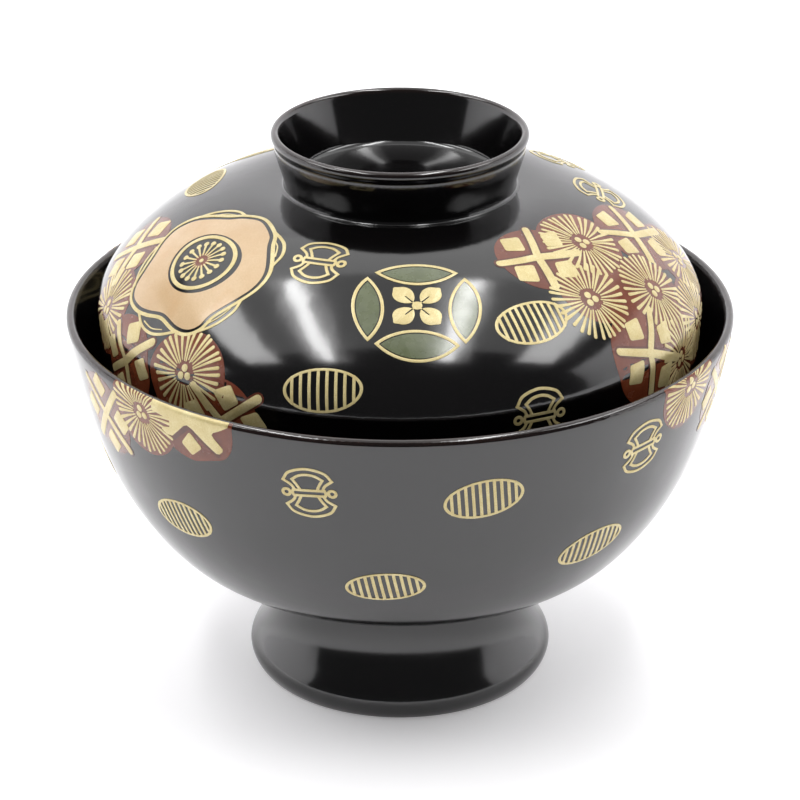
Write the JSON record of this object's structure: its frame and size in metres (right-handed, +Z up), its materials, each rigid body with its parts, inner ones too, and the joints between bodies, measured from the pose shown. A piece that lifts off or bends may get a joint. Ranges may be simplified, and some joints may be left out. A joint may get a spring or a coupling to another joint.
{
  "type": "lidded lacquer soup bowl",
  "caption": "Black lacquered soup bowl on a foot ring, with a domed lid that drops inside the rim and lifts off by its grip ring; gold treasure motifs.",
  "frame": {"origin": "middle of the foot ring's base, on the surface the bowl stands on", "axes": "+Z up along the turning axis; the view the decoration is composed for looks along +Y"},
  "size_m": [0.134, 0.134, 0.116],
  "materials": {
    "black_lacquer": "polished black lacquer, mirror gloss",
    "wood": "turned, sealed, bare under the lacquer",
    "hemp_cloth": "plain weave soaked in lacquer",
    "gold_maki_e": "polished gold powder, slightly raised",
    "red_lacquer": "red-brown lacquer ground, semi-gloss",
    "green_lacquer": "dull green lacquer, semi-gloss",
    "amber_lacquer": "amber lacquer over gold, semi-gloss"
  },
  "bodies": {
    "bowl": {"bowl_core": "wood", "bowl_rim_cloth": "hemp_cloth", "foot_ring_cloth": "hemp_cloth", "bowl_inside_lacquer": "black_lacquer", "bowl_outside_lacquer": "black_lacquer", "foot_ring_lacquer": "black_lacquer"},
    "lid": {"lid_core": "wood", "grip_ring_cloth": "hemp_cloth", "lid_edge_cloth": "hemp_cloth", "grip_ring_lacquer": "black_lacquer", "lid_outside_lacquer": "black_lacquer", "lid_inside_lacquer": "black_lacquer"}
  },
  "joints": [
    {"name": "lid_lift", "type": "slide", "parent": "bowl", "child": "lid", "axis": [0, 0, 1], "range_m": [0, 0.1]}
  ]
}
